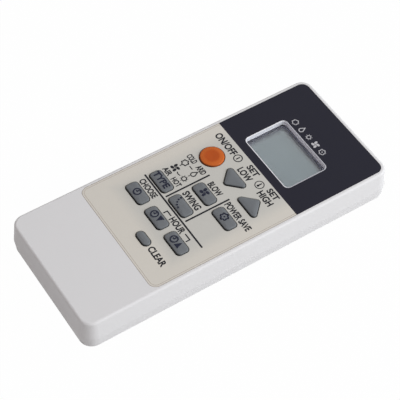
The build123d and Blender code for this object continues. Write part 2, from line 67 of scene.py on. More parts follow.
def carried(points, closedRows=False):
    # a profile (second axis) carried along a path (first axis); open ends get flat caps
    rows, columns = points.shape[:2]
    faces = gridFaces(rows, columns, closedRows)
    if not closedRows:
        faces.append(list(range(columns))[::-1])
        faces.append([(rows - 1) * columns + step for step in range(columns)])
    return points.reshape(-1, 3), faces


def joined(parts):
    # several shapes as one list of points and one list of faces
    points, faces, start = [], [], 0
    for partPoints, partFaces in parts:
        points.append(partPoints)
        faces += [[start + corner for corner in face] for face in partFaces]
        start += len(partPoints)
    return np.concatenate(points), faces


def makePiece(name, shape, material, body, smooth=False):
    # puts a shape in mm into a mesh with its faces pointing outwards, and lets it ride on a body
    points, faces = shape
    mesh = bpy.data.meshes.new(name)
    mesh.from_pydata((points * mm).tolist(), [], faces)
    work = bmesh.new()
    work.from_mesh(mesh)
    bmesh.ops.remove_doubles(work, verts=work.verts, dist=mergeWithin)
    bmesh.ops.recalc_face_normals(work, faces=work.faces)
    work.to_mesh(mesh)
    work.free()
    mesh.polygons.foreach_set("use_smooth", [smooth] * len(mesh.polygons))
    mesh.materials.append(material)
    piece = bpy.data.objects.new(name, mesh)
    bpy.context.scene.collection.objects.link(piece)
    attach(piece, body)
    return piece


def polarPoints(x, y, radius, angle):
    # points from their distance and angle about a middle
    return np.stack([x + radius * np.cos(angle), y + radius * np.sin(angle)], -1)


def circlePoints(x, y, radius, count=40, start=0.0, sweep=1.0):
    # points on an arc: the middle plus the radius times the cosine and sine of the angle
    angle = turn * (start + sweep * np.linspace(0, 1, count, endpoint=sweep != 1.0))
    return polarPoints(x, y, radius, angle)


def atHeight(outline, height):
    # a flat outline lifted to a height
    return np.column_stack([outline, np.full(len(outline), height)])


def stamp(outline, low, high):
    # a flat outline given a thickness: the outline at two heights, closed by two caps
    return carried(np.stack([atHeight(outline, height) for height in (low, high)]))


def line(path, width, low, high, closed=False):
    # a rectangle carried along a path, kept square to it and mitred at its corners
    path = np.asarray(path, float)
    ahead = np.roll(path, -1, 0) - path
    behind = path - np.roll(path, 1, 0)
    if not closed:
        ahead[-1], behind[0] = behind[-1], ahead[0]
    ahead /= np.linalg.norm(ahead, axis=1, keepdims=True)
    behind /= np.linalg.norm(behind, axis=1, keepdims=True)
    normal = np.stack([-(ahead + behind)[:, 1], (ahead + behind)[:, 0]], -1)
    normal /= np.linalg.norm(normal, axis=1, keepdims=True)
    side = np.stack([-ahead[:, 1], ahead[:, 0]], -1)
    leastCosine = 0.4                   # keeps the mitre of a sharp corner short
    reach = width / 2 / np.clip((normal * side).sum(1, keepdims=True), leastCosine, 1)
    left, right = path + normal * reach, path - normal * reach
    profile = ((left, low), (right, low), (right, high), (left, high))
    return carried(np.stack([atHeight(edge, height) for edge, height in profile], 1), closed)


letterShape = {"curveSteps": 4, "thick": 0.5}       # any thickness does, because it is stretched afterwards


def lettering(text, x0, x1, y0, y1, low, high, weight):
    # words in the plain built-in face, thickened, then stretched to fill a rectangle
    curve = bpy.data.curves.new("words", "FONT")
    curve.body = text
    curve.extrude = letterShape["thick"]
    curve.offset = weight
    curve.resolution_u = letterShape["curveSteps"]
    holder = bpy.data.objects.new("words", curve)
    bpy.context.scene.collection.objects.link(holder)
    bpy.context.view_layer.update()
    mesh = bpy.data.meshes.new_from_object(holder)
    points = np.zeros(len(mesh.vertices) * 3)
    mesh.vertices.foreach_get("co", points)
    points = points.reshape(-1, 3)
    faces = [list(face.vertices) for face in mesh.polygons]
    bpy.data.objects.remove(holder)
    lowest, highest = points.min(0), points.max(0)
    share = (points - lowest) / (highest - lowest)
    return np.array([x0, y0, low]) + share * np.array([x1 - x0, y1 - y0, high - low]), faces


pictureShape = {
    # shares of a picture's size
    "flakeRadius": 0.38, "flakeSwell": 0.05, "spikeFrom": 0.42,
    "dropLower": 0.15, "dropRadius": 0.31,
    "sunRadius": 0.3, "rayFrom": 0.43,
    "hub": 0.06, "bladeOut": 0.29, "bladeLong": 0.225, "bladeWide": 0.15,
    "handUp": 0.3, "handAcross": 0.22,
    "arrowSide": 0.82,
    "barReach": 0.24,
    "bulbLower": 0.18, "bulbRadius": 0.13, "stemReach": 0.27,
    # shares of its line's width
    "rayWidth": 0.8, "barWidth": 1.2, "stemWidth": 1.3, "bulbRing": 0.85,
    # turns
    "spikeStart": 0.25, "dropStart": 0.42, "dropSweep": 0.66, "bladeLean": -0.09,
    # how many of each
    "lobes": 6, "rays": 8, "blades": 4,
    "flakeSteps": 72, "dropSteps": 26, "hubSteps": 16, "bladeSteps": 24, "bulbSteps": 20, "dotSteps": 12,
}


def dot(x, y, radius, low, high):
    # a small disc
    return [stamp(circlePoints(x, y, radius, pictureShape["dotSteps"]), low, high)]


def ring(x, y, radius, width, low, high):
    # a line carried round a circle
    return line(circlePoints(x, y, radius), width, low, high, closed=True)


def rays(x, y, count, inner, outer, width, low, high, start=0.0):
    # short strokes on spokes about a middle
    parts = []
    for ray in range(count):
        ends = polarPoints(x, y, np.array([inner, outer]), turn * (start + ray / count))
        parts.append(line(ends, width, low, high))
    return parts


def flake(x, y, size, width, low, high):
    # hollow lobed outline: the radius swells once for each lobe, with a short spike on each
    lobes = pictureShape["lobes"]
    angle = turn * np.linspace(0, 1, pictureShape["flakeSteps"], endpoint=False)
    swell = pictureShape["flakeSwell"] * np.cos(lobes * angle)
    outline = polarPoints(x, y, size * (pictureShape["flakeRadius"] - swell), angle)
    spikes = rays(x, y, lobes, size * pictureShape["spikeFrom"], size / 2, width, low, high,
                  start=pictureShape["spikeStart"])
    return [line(outline, width, low, high, closed=True)] + spikes


def drop(x, y, size, width, low, high):
    # an arc closed by two straight lines that meet in a point above it
    bowl = circlePoints(x, y - size * pictureShape["dropLower"], size * pictureShape["dropRadius"],
                        pictureShape["dropSteps"], pictureShape["dropStart"], pictureShape["dropSweep"])
    return [line(np.vstack([bowl, [(x, y + size / 2)]]), width, low, high, closed=True)]


def sun(x, y, size, width, low, high):
    # a ring with short rays
    thin = width * pictureShape["rayWidth"]
    return ([ring(x, y, size * pictureShape["sunRadius"], width, low, high)]
            + rays(x, y, pictureShape["rays"], size * pictureShape["rayFrom"], size / 2, thin, low, high))


def rotor(x, y, size, low, high):
    # ellipses round a hub, each one leaning a little away from its spoke
    parts = [stamp(circlePoints(x, y, size * pictureShape["hub"], pictureShape["hubSteps"]), low, high)]
    angle = turn * np.linspace(0, 1, pictureShape["bladeSteps"], endpoint=False)[:, None]
    for blade in range(pictureShape["blades"]):
        spoke = turn * (blade + 0.5) / pictureShape["blades"]
        middle = polarPoints(x, y, size * pictureShape["bladeOut"], spoke)
        along = polarPoints(0, 0, 1, spoke + turn * pictureShape["bladeLean"])
        across = np.array([-along[1], along[0]])
        petal = (pictureShape["bladeLong"] * np.cos(angle) * along
                 + pictureShape["bladeWide"] * np.sin(angle) * across)
        parts.append(stamp(middle + size * petal, low, high))
    return parts


def clock(x, y, size, width, low, high):
    # a ring with two hands
    hands = [(x, y + size * pictureShape["handUp"]), (x, y), (x - size * pictureShape["handAcross"], y)]
    return [ring(x, y, (size - width) / 2, width, low, high), line(hands, width, low, high)]


def arrow(x, y, size, direction, low, high):
    # a solid triangle that points up or down
    half = size / 2
    side = half * pictureShape["arrowSide"]
    base = y - direction * half
    corners = [(x - side, base), (x + side, base), (x, y + direction * half)]
    return [stamp(corners[::direction], low, high)]


def powerMark(x, y, size, width, low, high):
    # a ring with an upright bar in it
    reach = size * pictureShape["barReach"]
    return [ring(x, y, (size - width) / 2, width, low, high),
            line([(x, y - reach), (x, y + reach)], width * pictureShape["barWidth"], low, high)]


def thermometer(x, y, size, width, low, high):
    # a bulb and stem inside a ring
    foot = y - size * pictureShape["bulbLower"]
    bulb = circlePoints(x, foot, size * pictureShape["bulbRadius"], pictureShape["bulbSteps"])
    stem = [(x, foot), (x, y + size * pictureShape["stemReach"])]
    return [ring(x, y, (size - width) / 2, width * pictureShape["bulbRing"], low, high),
            stamp(bulb, low, high), line(stem, width * pictureShape["stemWidth"], low, high)]


print("shapes ready")


def screen(red, green, blue):
    # linear colour of a screen colour out of 255, by the standard curve for screens
    share = np.array([red, green, blue]) / 255
    return (*np.where(share <= 0.04045, share / 12.92, ((share + 0.055) / 1.055) ** 2.4), 1.0)


def shaded(colour, factor):
    # the same colour, lighter or darker
    return tuple(min(1.0, part * factor) for part in colour[:3]) + (1.0,)


def put(tree, kind, inputs=None, **settings):
    # a node with its settings, and its inputs linked or set
    node = tree.nodes.new("ShaderNode" + kind)
    for key, value in settings.items():
        setattr(node, key, value)
    for key, value in (inputs or {}).items():
        if isinstance(value, bpy.types.NodeSocket):
            tree.links.new(value, node.inputs[key])
        else:
            node.inputs[key].default_value = value
    return node


def math(tree, operation, first, second=0.0):
    # one operation on two values
    return put(tree, "Math", {0: first, 1: second}, operation=operation).outputs[0]


def above(tree, value, limit):
    # 1 where the value is more than the limit
    return math(tree, "GREATER_THAN", value, limit)


def below(tree, value, limit):
    # 1 where the value is less than the limit
    return math(tree, "LESS_THAN", value, limit)


def allOf(tree, *shares):
    # 1 where every share is 1
    result = shares[0]
    for share in shares[1:]:
        result = math(tree, "MULTIPLY", result, share)
    return result


def between(tree, value, low, high):
    # 1 where the value is more than one limit and less than the other
    return allOf(tree, above(tree, value, low), below(tree, value, high))


def axes(tree, place):
    # the three coordinates of a place
    return put(tree, "SeparateXYZ", {0: place}).outputs


def mixColour(tree, share, first, second):
    # inputs 6 and 7 and output 2 are this node's colours
    return put(tree, "Mix", {0: share, 6: first, 7: second}, data_type="RGBA").outputs[2]


def mixShader(tree, kind, share, first, second):
    # the first shader where the share is 0 and the second where it is 1, sent to the output
    both = put(tree, "MixShader", {0: share, 1: first.outputs[0], 2: second.outputs[0]})
    put(tree, "Output" + kind, {0: both.outputs[0]})


def spread(tree, value, low, high, fromLow=0.0, fromHigh=1.0):
    # a range of values stretched to another range, and held inside it
    return put(tree, "MapRange", {"Value": value, "From Min": fromLow, "From Max": fromHigh,
                                  "To Min": low, "To Max": high}).outputs[0]


def emptyMaterial(name):
    # a material without nodes
    material = bpy.data.materials.new(name)
    material.use_nodes = True
    material.node_tree.nodes.clear()
    return material, material.node_tree


def objectPlace(tree):
    # the piece's own coordinates
    return put(tree, "TexCoord").outputs["Object"]


def newFinish(name):
    # a material with one Principled shader, and the piece's own coordinates
    material, tree = emptyMaterial(name)
    shader = put(tree, "BsdfPrincipled")
    put(tree, "OutputMaterial", {0: shader.outputs[0]})
    return material, tree, shader, objectPlace(tree)


def noise(tree, place, size, detail=2.0):
    # soft noise whose spots are about this many metres across
    return put(tree, "TexNoise", {"Vector": place, "Scale": 1 / size, "Detail": detail}).outputs["Fac"]


def stretched(tree, place, amounts):
    # coordinates multiplied axis by axis, so that a pattern gets finer along the larger amounts
    return put(tree, "Mapping", {"Vector": place, "Scale": amounts}).outputs[0]


gloss = {"patch": 0.0024, "detail": 3.0, "from": 0.3, "to": 0.7}      # metres, then levels of the noise


def surface(tree, shader, place, roughness, spreadBy, grain, grainSize, grainDepth, specular):
    # gloss that is uneven in soft patches, and a fine bump
    wear = noise(tree, place, gloss["patch"], gloss["detail"])
    rough = spread(tree, wear, roughness - spreadBy, roughness + spreadBy, gloss["from"], gloss["to"])
    tree.links.new(rough, shader.inputs["Roughness"])
    height = noise(tree, place, grainSize)
    bump = put(tree, "Bump", {"Strength": grain, "Distance": grainDepth, "Height": height})
    tree.links.new(bump.outputs[0], shader.inputs["Normal"])
    shader.inputs["Specular IOR Level"].default_value = specular


def plain(name, colour, roughness=0.5, spreadBy=0.08, mottle=0.04, mottleSize=0.006,
          grain=0.3, grainSize=0.0002, grainDepth=0.00002, metallic=0.0, specular=0.5, coat=0.0,
          stretch=None, pattern=None):
    # one colour with a faint mottle, or a pattern of its own, over an uneven gloss and a fine grain
    material, tree, shader, place = newFinish(name)
    patch = noise(tree, place, mottleSize, detail=4.0)
    base = mixColour(tree, patch, shaded(colour, 1 - mottle), shaded(colour, 1 + mottle))
    if pattern:
        base = pattern(tree, place, base)
    tree.links.new(base, shader.inputs["Base Color"])
    grainPlace = stretched(tree, place, stretch) if stretch else place
    surface(tree, shader, grainPlace, roughness, spreadBy, grain, grainSize, grainDepth, specular)
    shader.inputs["Metallic"].default_value = metallic
    shader.inputs["Coat Weight"].default_value = coat
    return material


windowLow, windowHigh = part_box("display_window")
caseFinish = {
    "white": screen(228, 228, 229),
    "holeWallShade": screen(176, 172, 164),
    "tunnelSide": screen(219, 222, 230), "tunnelEndShade": screen(212, 211, 221),
    "rim": screen(249, 250, 255), "rimEnd": screen(202, 203, 210),
    "roughness": 0.55,
    "grain": 0.4, "grainSize": 0.0003,
    # metres: where the walls of the key holes are, the height at which the rim round the display begins, and
    # how near the window's far sides the walls and rim get painted shade
    "holesAbove": 0.0128, "holesWithin": 0.025,
    "holesBelowY": windowLow.y - 0.003,
    "tunnelTop": 0.0146,
    "farWithin": 0.0018,
}


def makeCaseFinish():
    # fine spark-textured white; painted shade on the walls in the key holes; a cooler, slightly darker white
    # on the walls round the display, with painted shade on the far ones, and a painted highlight on the rim
    # above them, shaded at the far sides
    def pattern(tree, place, base):
        x, y, z = axes(tree, place)
        fromMiddle = math(tree, "ABSOLUTE", x)
        # the walls in the key holes get a darker colour, a painted shade
        inHole = allOf(tree, above(tree, z, caseFinish["holesAbove"]),
                       below(tree, fromMiddle, caseFinish["holesWithin"]),
                       between(tree, y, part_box("face_film")[0].y, caseFinish["holesBelowY"]))
        inTunnel = allOf(tree, above(tree, z, windowLow.z), below(tree, fromMiddle, windowHigh.x),
                         between(tree, y, caseFinish["holesBelowY"], windowHigh.y))
        # the walls and rim at the far sides of the display get darker colours, a painted shade
        atShadedEnd = math(tree, "MAXIMUM", above(tree, x, windowHigh.x - caseFinish["farWithin"]),
                     above(tree, y, windowHigh.y - caseFinish["farWithin"]))
        wall = mixColour(tree, atShadedEnd, caseFinish["tunnelSide"], caseFinish["tunnelEndShade"])
        # the rim is lighter than the case white, a painted highlight, and darker at the far sides, a painted
        # shade
        rim = mixColour(tree, atShadedEnd, caseFinish["rim"], caseFinish["rimEnd"])
        tunnel = mixColour(tree, above(tree, z, caseFinish["tunnelTop"]), wall, rim)
        return mixColour(tree, inTunnel, mixColour(tree, inHole, base, caseFinish["holeWallShade"]), tunnel)
    return plain("white moulded plastic", caseFinish["white"], caseFinish["roughness"], spreadBy=0.03,
                 mottle=0.008, grain=caseFinish["grain"], grainSize=caseFinish["grainSize"], specular=0.35,
                 pattern=pattern)


filmPrint = {
    "border": 0.02557,                  # metres, where the dark end begins
    "dark": screen(27, 27, 41),
    "pale": screen(221, 217, 208),
    "darkerInField": screen(206, 205, 199),
    "fieldSide": 0.003, "fieldLow": 0.009, "fieldSoft": 0.007,        # metres from the film's edges
    "cutEdge": screen(186, 181, 171), "edgeFrom": 0.00004,                  # metres below the film's top
    "patchSize": 0.004, "patchDetail": 5.0, "darkPatch": 0.88, "palePatch": 0.025,
    # metres across a speck, the levels of the noise that it uses, how strong it gets and how dark it is
    "speckSize": 0.00035, "speckFrom": 0.35, "speckTo": 0.75, "speckMost": 0.08, "speckShade": 0.7,
    "roughness": 0.45,
    "specular": 0.2,
}


def inside(tree, place, low, high, soft):
    # 0 at the sides of a rectangle seen from above, rising smoothly to 1 at a distance of soft within it
    depths = []
    for axis, value in enumerate(axes(tree, place)[:2]):
        fromMiddle = math(tree, "ABSOLUTE", math(tree, "SUBTRACT", value, (low[axis] + high[axis]) / 2))
        depths.append(math(tree, "SUBTRACT", (high[axis] - low[axis]) / 2, fromMiddle))
    return put(tree, "MapRange", {"Value": math(tree, "MINIMUM", *depths), "From Max": soft},
               interpolation_type="SMOOTHSTEP").outputs[0]


def makeFilmFinish():
    # printed sheet: two colours that meet in one line across it, with cut edges that show the bare sheet
    material, tree, shader, place = newFinish("film print")
    y, z = axes(tree, place)[1:]
    patch = noise(tree, place, filmPrint["patchSize"], filmPrint["patchDetail"])
    speck = noise(tree, place, filmPrint["speckSize"])
    low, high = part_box("face_film")
    # the pale end is darker over the middle of the key field
    field = inside(tree, place, (low.x + filmPrint["fieldSide"], low.y + filmPrint["fieldLow"]),
                   (high.x - filmPrint["fieldSide"], filmPrint["border"] + filmPrint["fieldSoft"]),
                   filmPrint["fieldSoft"])
    pale = mixColour(tree, field, filmPrint["pale"], filmPrint["darkerInField"])
    pale = mixColour(tree, patch, mixColour(tree, filmPrint["palePatch"], pale, (0, 0, 0, 1)), pale)
    specks = spread(tree, speck, 0.0, filmPrint["speckMost"], filmPrint["speckFrom"], filmPrint["speckTo"])
    pale = mixColour(tree, specks, pale, shaded(filmPrint["pale"], filmPrint["speckShade"]))
    dark = mixColour(tree, patch, shaded(filmPrint["dark"], filmPrint["darkPatch"]), filmPrint["dark"])
    atDarkEnd = above(tree, y, filmPrint["border"])
    face = mixColour(tree, atDarkEnd, pale, dark)
    edge = mixColour(tree, atDarkEnd, filmPrint["cutEdge"], dark)
    onTop = above(tree, z, high.z - filmPrint["edgeFrom"])
    tree.links.new(mixColour(tree, onTop, edge, face), shader.inputs["Base Color"])
    surface(tree, shader, place, filmPrint["roughness"], spreadBy=0.03, grain=0.15, grainSize=0.00025,
            grainDepth=0.00001, specular=filmPrint["specular"])
    return material


rubberFinish = {
    "grey": screen(114, 118, 122), "orange": screen(201, 100, 37),
    "darkMiddle": screen(185, 82, 24),
    "darkMiddleFrom": 0.0026, "darkMiddleTo": 0.0036,       # metres from the middle of the round key
    "roughness": 0.55, "specular": 0.22,
    "sideTop": 0.0003, "sideBottom": 0.0006,    # metres below the key's top between which its side darkens
    "sideShade": 0.12, "powerShade": 0.3, "shadeFrom": -0.1, "shadeTo": 0.6,     # how far a side faces -Y
}


def makeRubberFinish(name, colour, shade, darkMiddle=None):
    # silicone with a fine grain, with painted shade down the sides that face the low end; the round key is
    # also darker towards its middle
    def pattern(tree, place, base):
        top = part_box("fan_key")[1].z
        if darkMiddle:
            low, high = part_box("power_key")
            middle = ((low.x + high.x) / 2, (low.y + high.y) / 2, high.z)
            away = put(tree, "VectorMath", {0: place, 1: middle}, operation="DISTANCE").outputs["Value"]
            share = spread(tree, away, 0.0, 1.0, rubberFinish["darkMiddleFrom"], rubberFinish["darkMiddleTo"])
            base = mixColour(tree, share, darkMiddle, base)
        # below the top, the sides that face -Y get a darker colour, a painted shade
        side = spread(tree, axes(tree, place)[2], 1.0, 0.0, top - rubberFinish["sideBottom"],
                      top - rubberFinish["sideTop"])
        facing = axes(tree, put(tree, "NewGeometry").outputs["Normal"])[1]
        near = spread(tree, facing, 1.0, 0.0, -rubberFinish["shadeTo"], -rubberFinish["shadeFrom"])
        return mixColour(tree, allOf(tree, side, near), base, shaded(colour, shade))
    return plain(name, colour, rubberFinish["roughness"], spreadBy=0.06, mottle=0.03, mottleSize=0.002,
                 grain=0.45, grainDepth=0.00003, specular=rubberFinish["specular"], pattern=pattern)


boardFinish = {
    "mask": screen(34, 96, 54), "track": screen(70, 140, 84), "pad": screen(196, 196, 190),
    "trackScale": 150.0, "trackBend": 2.2, "trackDetail": 1.0, "trackFrom": 0.72,
    "padScale": 260.0, "padSize": 0.14,
}


def boardPattern(tree, place, base):
    # copper tracks under the green mask, and small tinned pads
    wave = put(tree, "TexWave", {"Vector": place, "Scale": boardFinish["trackScale"],
                                 "Distortion": boardFinish["trackBend"],
                                 "Detail": boardFinish["trackDetail"]},
               bands_direction="DIAGONAL").outputs["Fac"]
    tracks = mixColour(tree, above(tree, wave, boardFinish["trackFrom"]), base, boardFinish["track"])
    pads = put(tree, "TexVoronoi", {"Vector": place, "Scale": boardFinish["padScale"]}).outputs["Distance"]
    return mixColour(tree, below(tree, pads, boardFinish["padSize"]), tracks, boardFinish["pad"])


def bandPattern(scale, colour, share=0.5):
    # straight bands across a piece; a wave's period is 0.314 divided by its scale, in metres
    def pattern(tree, place, base):
        wave = put(tree, "TexWave", {"Vector": place, "Scale": scale}).outputs["Fac"]
        return mixColour(tree, above(tree, wave, share), base, colour)
    return pattern


displayFinish = {
    # the border colour is painted shade near the sheet's edges; the two end factors are painted light
    "colour": screen(183, 201, 210), "border": screen(124, 122, 138),
    "lowEndLight": 1.04, "highEndShade": 0.97,
    "edgeShadeFrom": 0.0009, "edgeShadeWide": 0.0032,      # metres, from the foam ring's outside
    "roughness": 0.4, "clear": (0.96, 0.975, 0.975, 1.0),
}


def polariserPattern(tree, place, base):
    # a sheet with painted shade towards its border, and painted light that makes it lighter at its low end
    # and darker at its high end
    low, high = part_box("display_gasket")
    drift = spread(tree, axes(tree, place)[1], 0.0, 1.0, low.y, high.y)
    face = mixColour(tree, drift, shaded(displayFinish["colour"], displayFinish["lowEndLight"]),
                     shaded(displayFinish["colour"], displayFinish["highEndShade"]))
    inset = displayFinish["edgeShadeFrom"]
    middle = inside(tree, place, (low.x + inset, low.y + inset), (high.x - inset, high.y - inset),
                    displayFinish["edgeShadeWide"])
    return mixColour(tree, middle, displayFinish["border"], face)


wipeMarks = {
    "stretch": (1, 6, 1), "size": 0.003, "detail": 3.0,
    "least": 0.6, "most": 1.6,          # shares of the roughness
}


def clearFinish(name, tint, roughness=0.05, bend=1.45):
    # see-through, with the gloss of a polished surface and faint wipe marks in it
    material, tree = emptyMaterial(name)
    through = put(tree, "BsdfTransparent", {"Color": tint})
    drawn = stretched(tree, objectPlace(tree), wipeMarks["stretch"])
    wipes = noise(tree, drawn, wipeMarks["size"], wipeMarks["detail"])
    rough = spread(tree, wipes, roughness * wipeMarks["least"], roughness * wipeMarks["most"])
    shine = put(tree, "BsdfGlossy", {"Color": (1, 1, 1, 1), "Roughness": rough})
    mixShader(tree, "Material", put(tree, "Fresnel", {"IOR": bend}).outputs[0], through, shine)
    return material


def metal(name, colour, roughness, stretch):
    # drawn or rolled metal: long fine streaks, with a mottle of handling marks
    return plain(name, colour, roughness, spreadBy=0.12, mottle=0.06, mottleSize=0.0015, grain=0.5,
                 grainSize=0.0004, grainDepth=0.00001, metallic=1.0, stretch=stretch)


finishes = {
    "white_plastic": makeCaseFinish(),
    "face_print": makeFilmFinish(),
    "key_rubber": makeRubberFinish("grey key rubber", rubberFinish["grey"], rubberFinish["sideShade"]),
    "power_rubber": makeRubberFinish("orange key rubber", rubberFinish["orange"], rubberFinish["powerShade"],
                                     rubberFinish["darkMiddle"]),
    "mat_rubber": plain("dark mat rubber", screen(58, 60, 63), 0.7, mottle=0.1, mottleSize=0.002,
                        grainSize=0.0003),
    "polariser": plain("display polariser", displayFinish["colour"], displayFinish["roughness"],
                       spreadBy=0.03, mottle=0.01, grain=0.05, specular=0.2, pattern=polariserPattern),
    "gasket_foam": plain("pale foam", screen(214, 210, 228), 0.9, mottle=0.08, mottleSize=0.0004, grain=0.5,
                         grainSize=0.0004, grainDepth=0.00005, specular=0.1),
    "holder_plastic": plain("pale holder plastic", screen(196, 196, 192), 0.5, grainSize=0.0004),
    "contact_rubber": plain("striped contact rubber", screen(40, 40, 42), 0.75,
                            pattern=bandPattern(785.0, screen(120, 118, 112))),
    "carbon": plain("carbon pill", screen(34, 34, 35), 0.85, mottle=0.2, mottleSize=0.0005, grain=0.8),
    "board": plain("green circuit board", boardFinish["mask"], 0.35, spreadBy=0.05, coat=0.2,
                   pattern=boardPattern),
    "resin": plain("black epoxy", screen(22, 22, 23), 0.22, spreadBy=0.1, mottle=0.1, mottleSize=0.003,
                   grain=0.6, grainSize=0.0012, grainDepth=0.00008),
    "can_metal": metal("crystal can", screen(196, 196, 196), 0.28, (1, 1, 9)),
    "capacitor_sleeve": plain("capacitor sleeve", screen(34, 36, 66), 0.32, mottle=0.08,
                              pattern=bandPattern(50.0, screen(196, 198, 204), share=0.96)),
    "chip_body": plain("chip body", screen(34, 34, 36), 0.6, grainSize=0.00012),
    "chip_parts": plain("chip parts", screen(66, 56, 46), 0.5, mottle=0.3, mottleSize=0.0008,
                        pattern=bandPattern(87.0, screen(190, 190, 188), share=0.9)),
    "emitter_resin": clearFinish("emitter resin", (0.72, 0.78, 0.92, 1.0), 0.06, 1.5),
    "tinned_wire": metal("tinned wire", screen(205, 205, 205), 0.3, (9, 1, 9)),
    "smoked_window": plain("smoked window", screen(30, 12, 16), 0.1, spreadBy=0.04, mottle=0.1,
                           mottleSize=0.004, grain=0.1, grainSize=0.0006, coat=0.4),
    "cell_jacket": plain("cell jacket", screen(52, 92, 104), 0.3),
    "contact_metal": metal("nickel contact", screen(206, 202, 192), 0.26, (1, 1, 12)),
    "spring_metal": metal("spring wire", screen(196, 194, 190), 0.28, (5, 5, 5)),
    "screw_metal": metal("zinc screw", screen(186, 186, 190), 0.34, (1, 1, 4)),
    "clear_window": clearFinish("clear window", displayFinish["clear"]),
    "display_glass": clearFinish("display glass", (0.86, 0.93, 0.91, 1.0)),
}
inkColours = {
    "dark ink": screen(24, 25, 32),
    "pale ink": screen(196, 196, 200),
    "brown line and edge shade": screen(170, 158, 146),
    "key ink": screen(30, 33, 52),
}
inks = {name: plain(name, colour, 0.55, grain=0.1, specular=0.2) for name, colour in inkColours.items()}

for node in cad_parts.values():
    for slot in node.material_slots:
        slot.material = finishes[slot.material.name]
print("materials:", len(finishes) + len(inks))


keyShape = {
    "edgeWide": 0.75, "edgeHigh": 0.6,      # mm, rounded edge
    "crown": 0.24, "crownPower": 3.5,       # mm that the top falls towards its edge, and how late it does
    "inkThick": 0.03, "inkDeep": 0.12,      # mm, a mark's top over the cap's, and its foot under its own top
    "grow": 0.09,                           # mm that the cap is wider than its solid, all round
    "powerDish": 0.16, "dishPower": 3,      # mm, hollow in the middle of the round key, and how early it ends
    "barCorner": 1.4, "triangleCorner": 1.2,
    "cornerSteps": 10, "roundSteps": 60, "edgeSteps": 7, "topSteps": 16,
    "topFrom": 0.96, "topTo": 0.04,         # shares of the width that the rings over the top take
}


def cornerRing(centres, radius, inset):
    # an outline of arcs about corner centres, each turning from the side before it to the side after it
    centres = np.asarray(centres, float)
    if len(centres) == 1:
        return circlePoints(*centres[0], radius - inset, keyShape["roundSteps"])
    after = np.roll(centres, -1, 0) - centres
    leave = np.arctan2(after[:, 1], after[:, 0]) - np.pi / 2
    arrive = np.roll(leave, 1)
    sweep = (leave - arrive) % turn
    angle = arrive[:, None] + sweep[:, None] * np.linspace(0, 1, keyShape["cornerSteps"])[None, :]
    outline = centres[:, None, :] + (radius - inset) * np.stack([np.cos(angle), np.sin(angle)], -1)
    return outline.reshape(-1, 2)


def keyTop(name, centres, radius):
    # the outline carried up the side, round the edge and over the crown: the last part shrinks towards the
    # middle, and its height falls from the top by a power of its share of the width; the round key also has
    # a hollow, whose depth is a power of one minus that share squared
    low, high = boxInMm(name)
    top = high[2] - keyShape["inkThick"]
    middle = (low[:2] + high[:2]) / 2
    shoulder = top - keyShape["crown"]
    rows = [(0.0, low[2]), (0.0, (low[2] + shoulder) / 2)]
    rows += [(keyShape["edgeWide"] * (1 - np.cos(a)), shoulder - keyShape["edgeHigh"] * (1 - np.sin(a)))
             for a in np.linspace(0, np.pi / 2, keyShape["edgeSteps"])]
    radius = radius + keyShape["grow"]
    rings = [atHeight(cornerRing(centres, radius, inset), height) for inset, height in rows]
    edge = cornerRing(centres, radius, keyShape["edgeWide"])
    dish = keyShape["powerDish"] if name == "power_key" else 0.0
    for share in np.linspace(keyShape["topFrom"], keyShape["topTo"], keyShape["topSteps"]):
        hollow = dish * (1 - share ** 2) ** keyShape["dishPower"]
        fall = keyShape["crown"] * share ** keyShape["crownPower"] + hollow
        rings.append(atHeight(middle + (edge - middle) * share, top - fall))
    return carried(np.stack(rings))


def keyCentres(name):
    # the corner centres of a key's outline, from its box
    low, high = boxInMm(name)
    (x0, y0), (x1, y1) = low[:2], high[:2]
    middleX, middleY = (x0 + x1) / 2, (y0 + y1) / 2
    if name == "power_key":
        return [(middleX, middleY)], (x1 - x0) / 2
    if name == "reset_key":
        r = (y1 - y0) / 2
        return [(x1 - r, middleY), (x0 + r, middleY)], r
    if name.startswith("temperature"):
        r = keyShape["triangleCorner"]
        if name == "temperature_down_key":
            return [(x1 - r, y1 - r), (x0 + r, y1 - r), (middleX, y0 + r)], r
        return [(x0 + r, y0 + r), (x1 - r, y0 + r), (middleX, y1 - r)], r
    r = keyShape["barCorner"]
    return [(x1 - r, y0 + r), (x1 - r, y1 - r), (x0 + r, y1 - r), (x0 + r, y0 + r)], r


keyNames = [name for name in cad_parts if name.endswith("_key")]
for name in keyNames:
    slot = "power_rubber" if name == "power_key" else "key_rubber"
    cap = makePiece(name + "_cap", keyTop(name, *keyCentres(name)), finishes[slot], name, smooth=True)
    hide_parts(name)
print("keys:", len(keyNames))


markTop = boxInMm("fan_key")[1][2]
markLow = markTop - keyShape["inkDeep"]
swingDots = {
    "x": 0.7, "y": -8.4, "radius": 3.5, "dot": 0.42,        # mm
    "start": 0.5, "sweep": 0.24,                            # turns
    "count": 5,
}


def onKey(maker, x, y, size, *more):
    # a picture at the height of the key tops
    return maker(x, y, size, *more, markLow, markTop)


def swingMarks():
    # a row of dots on a quarter turn
    path = circlePoints(swingDots["x"], swingDots["y"], swingDots["radius"], swingDots["count"],
                        swingDots["start"], swingDots["sweep"])
    return [shape for x, y in path for shape in onKey(dot, x, y, swingDots["dot"])]


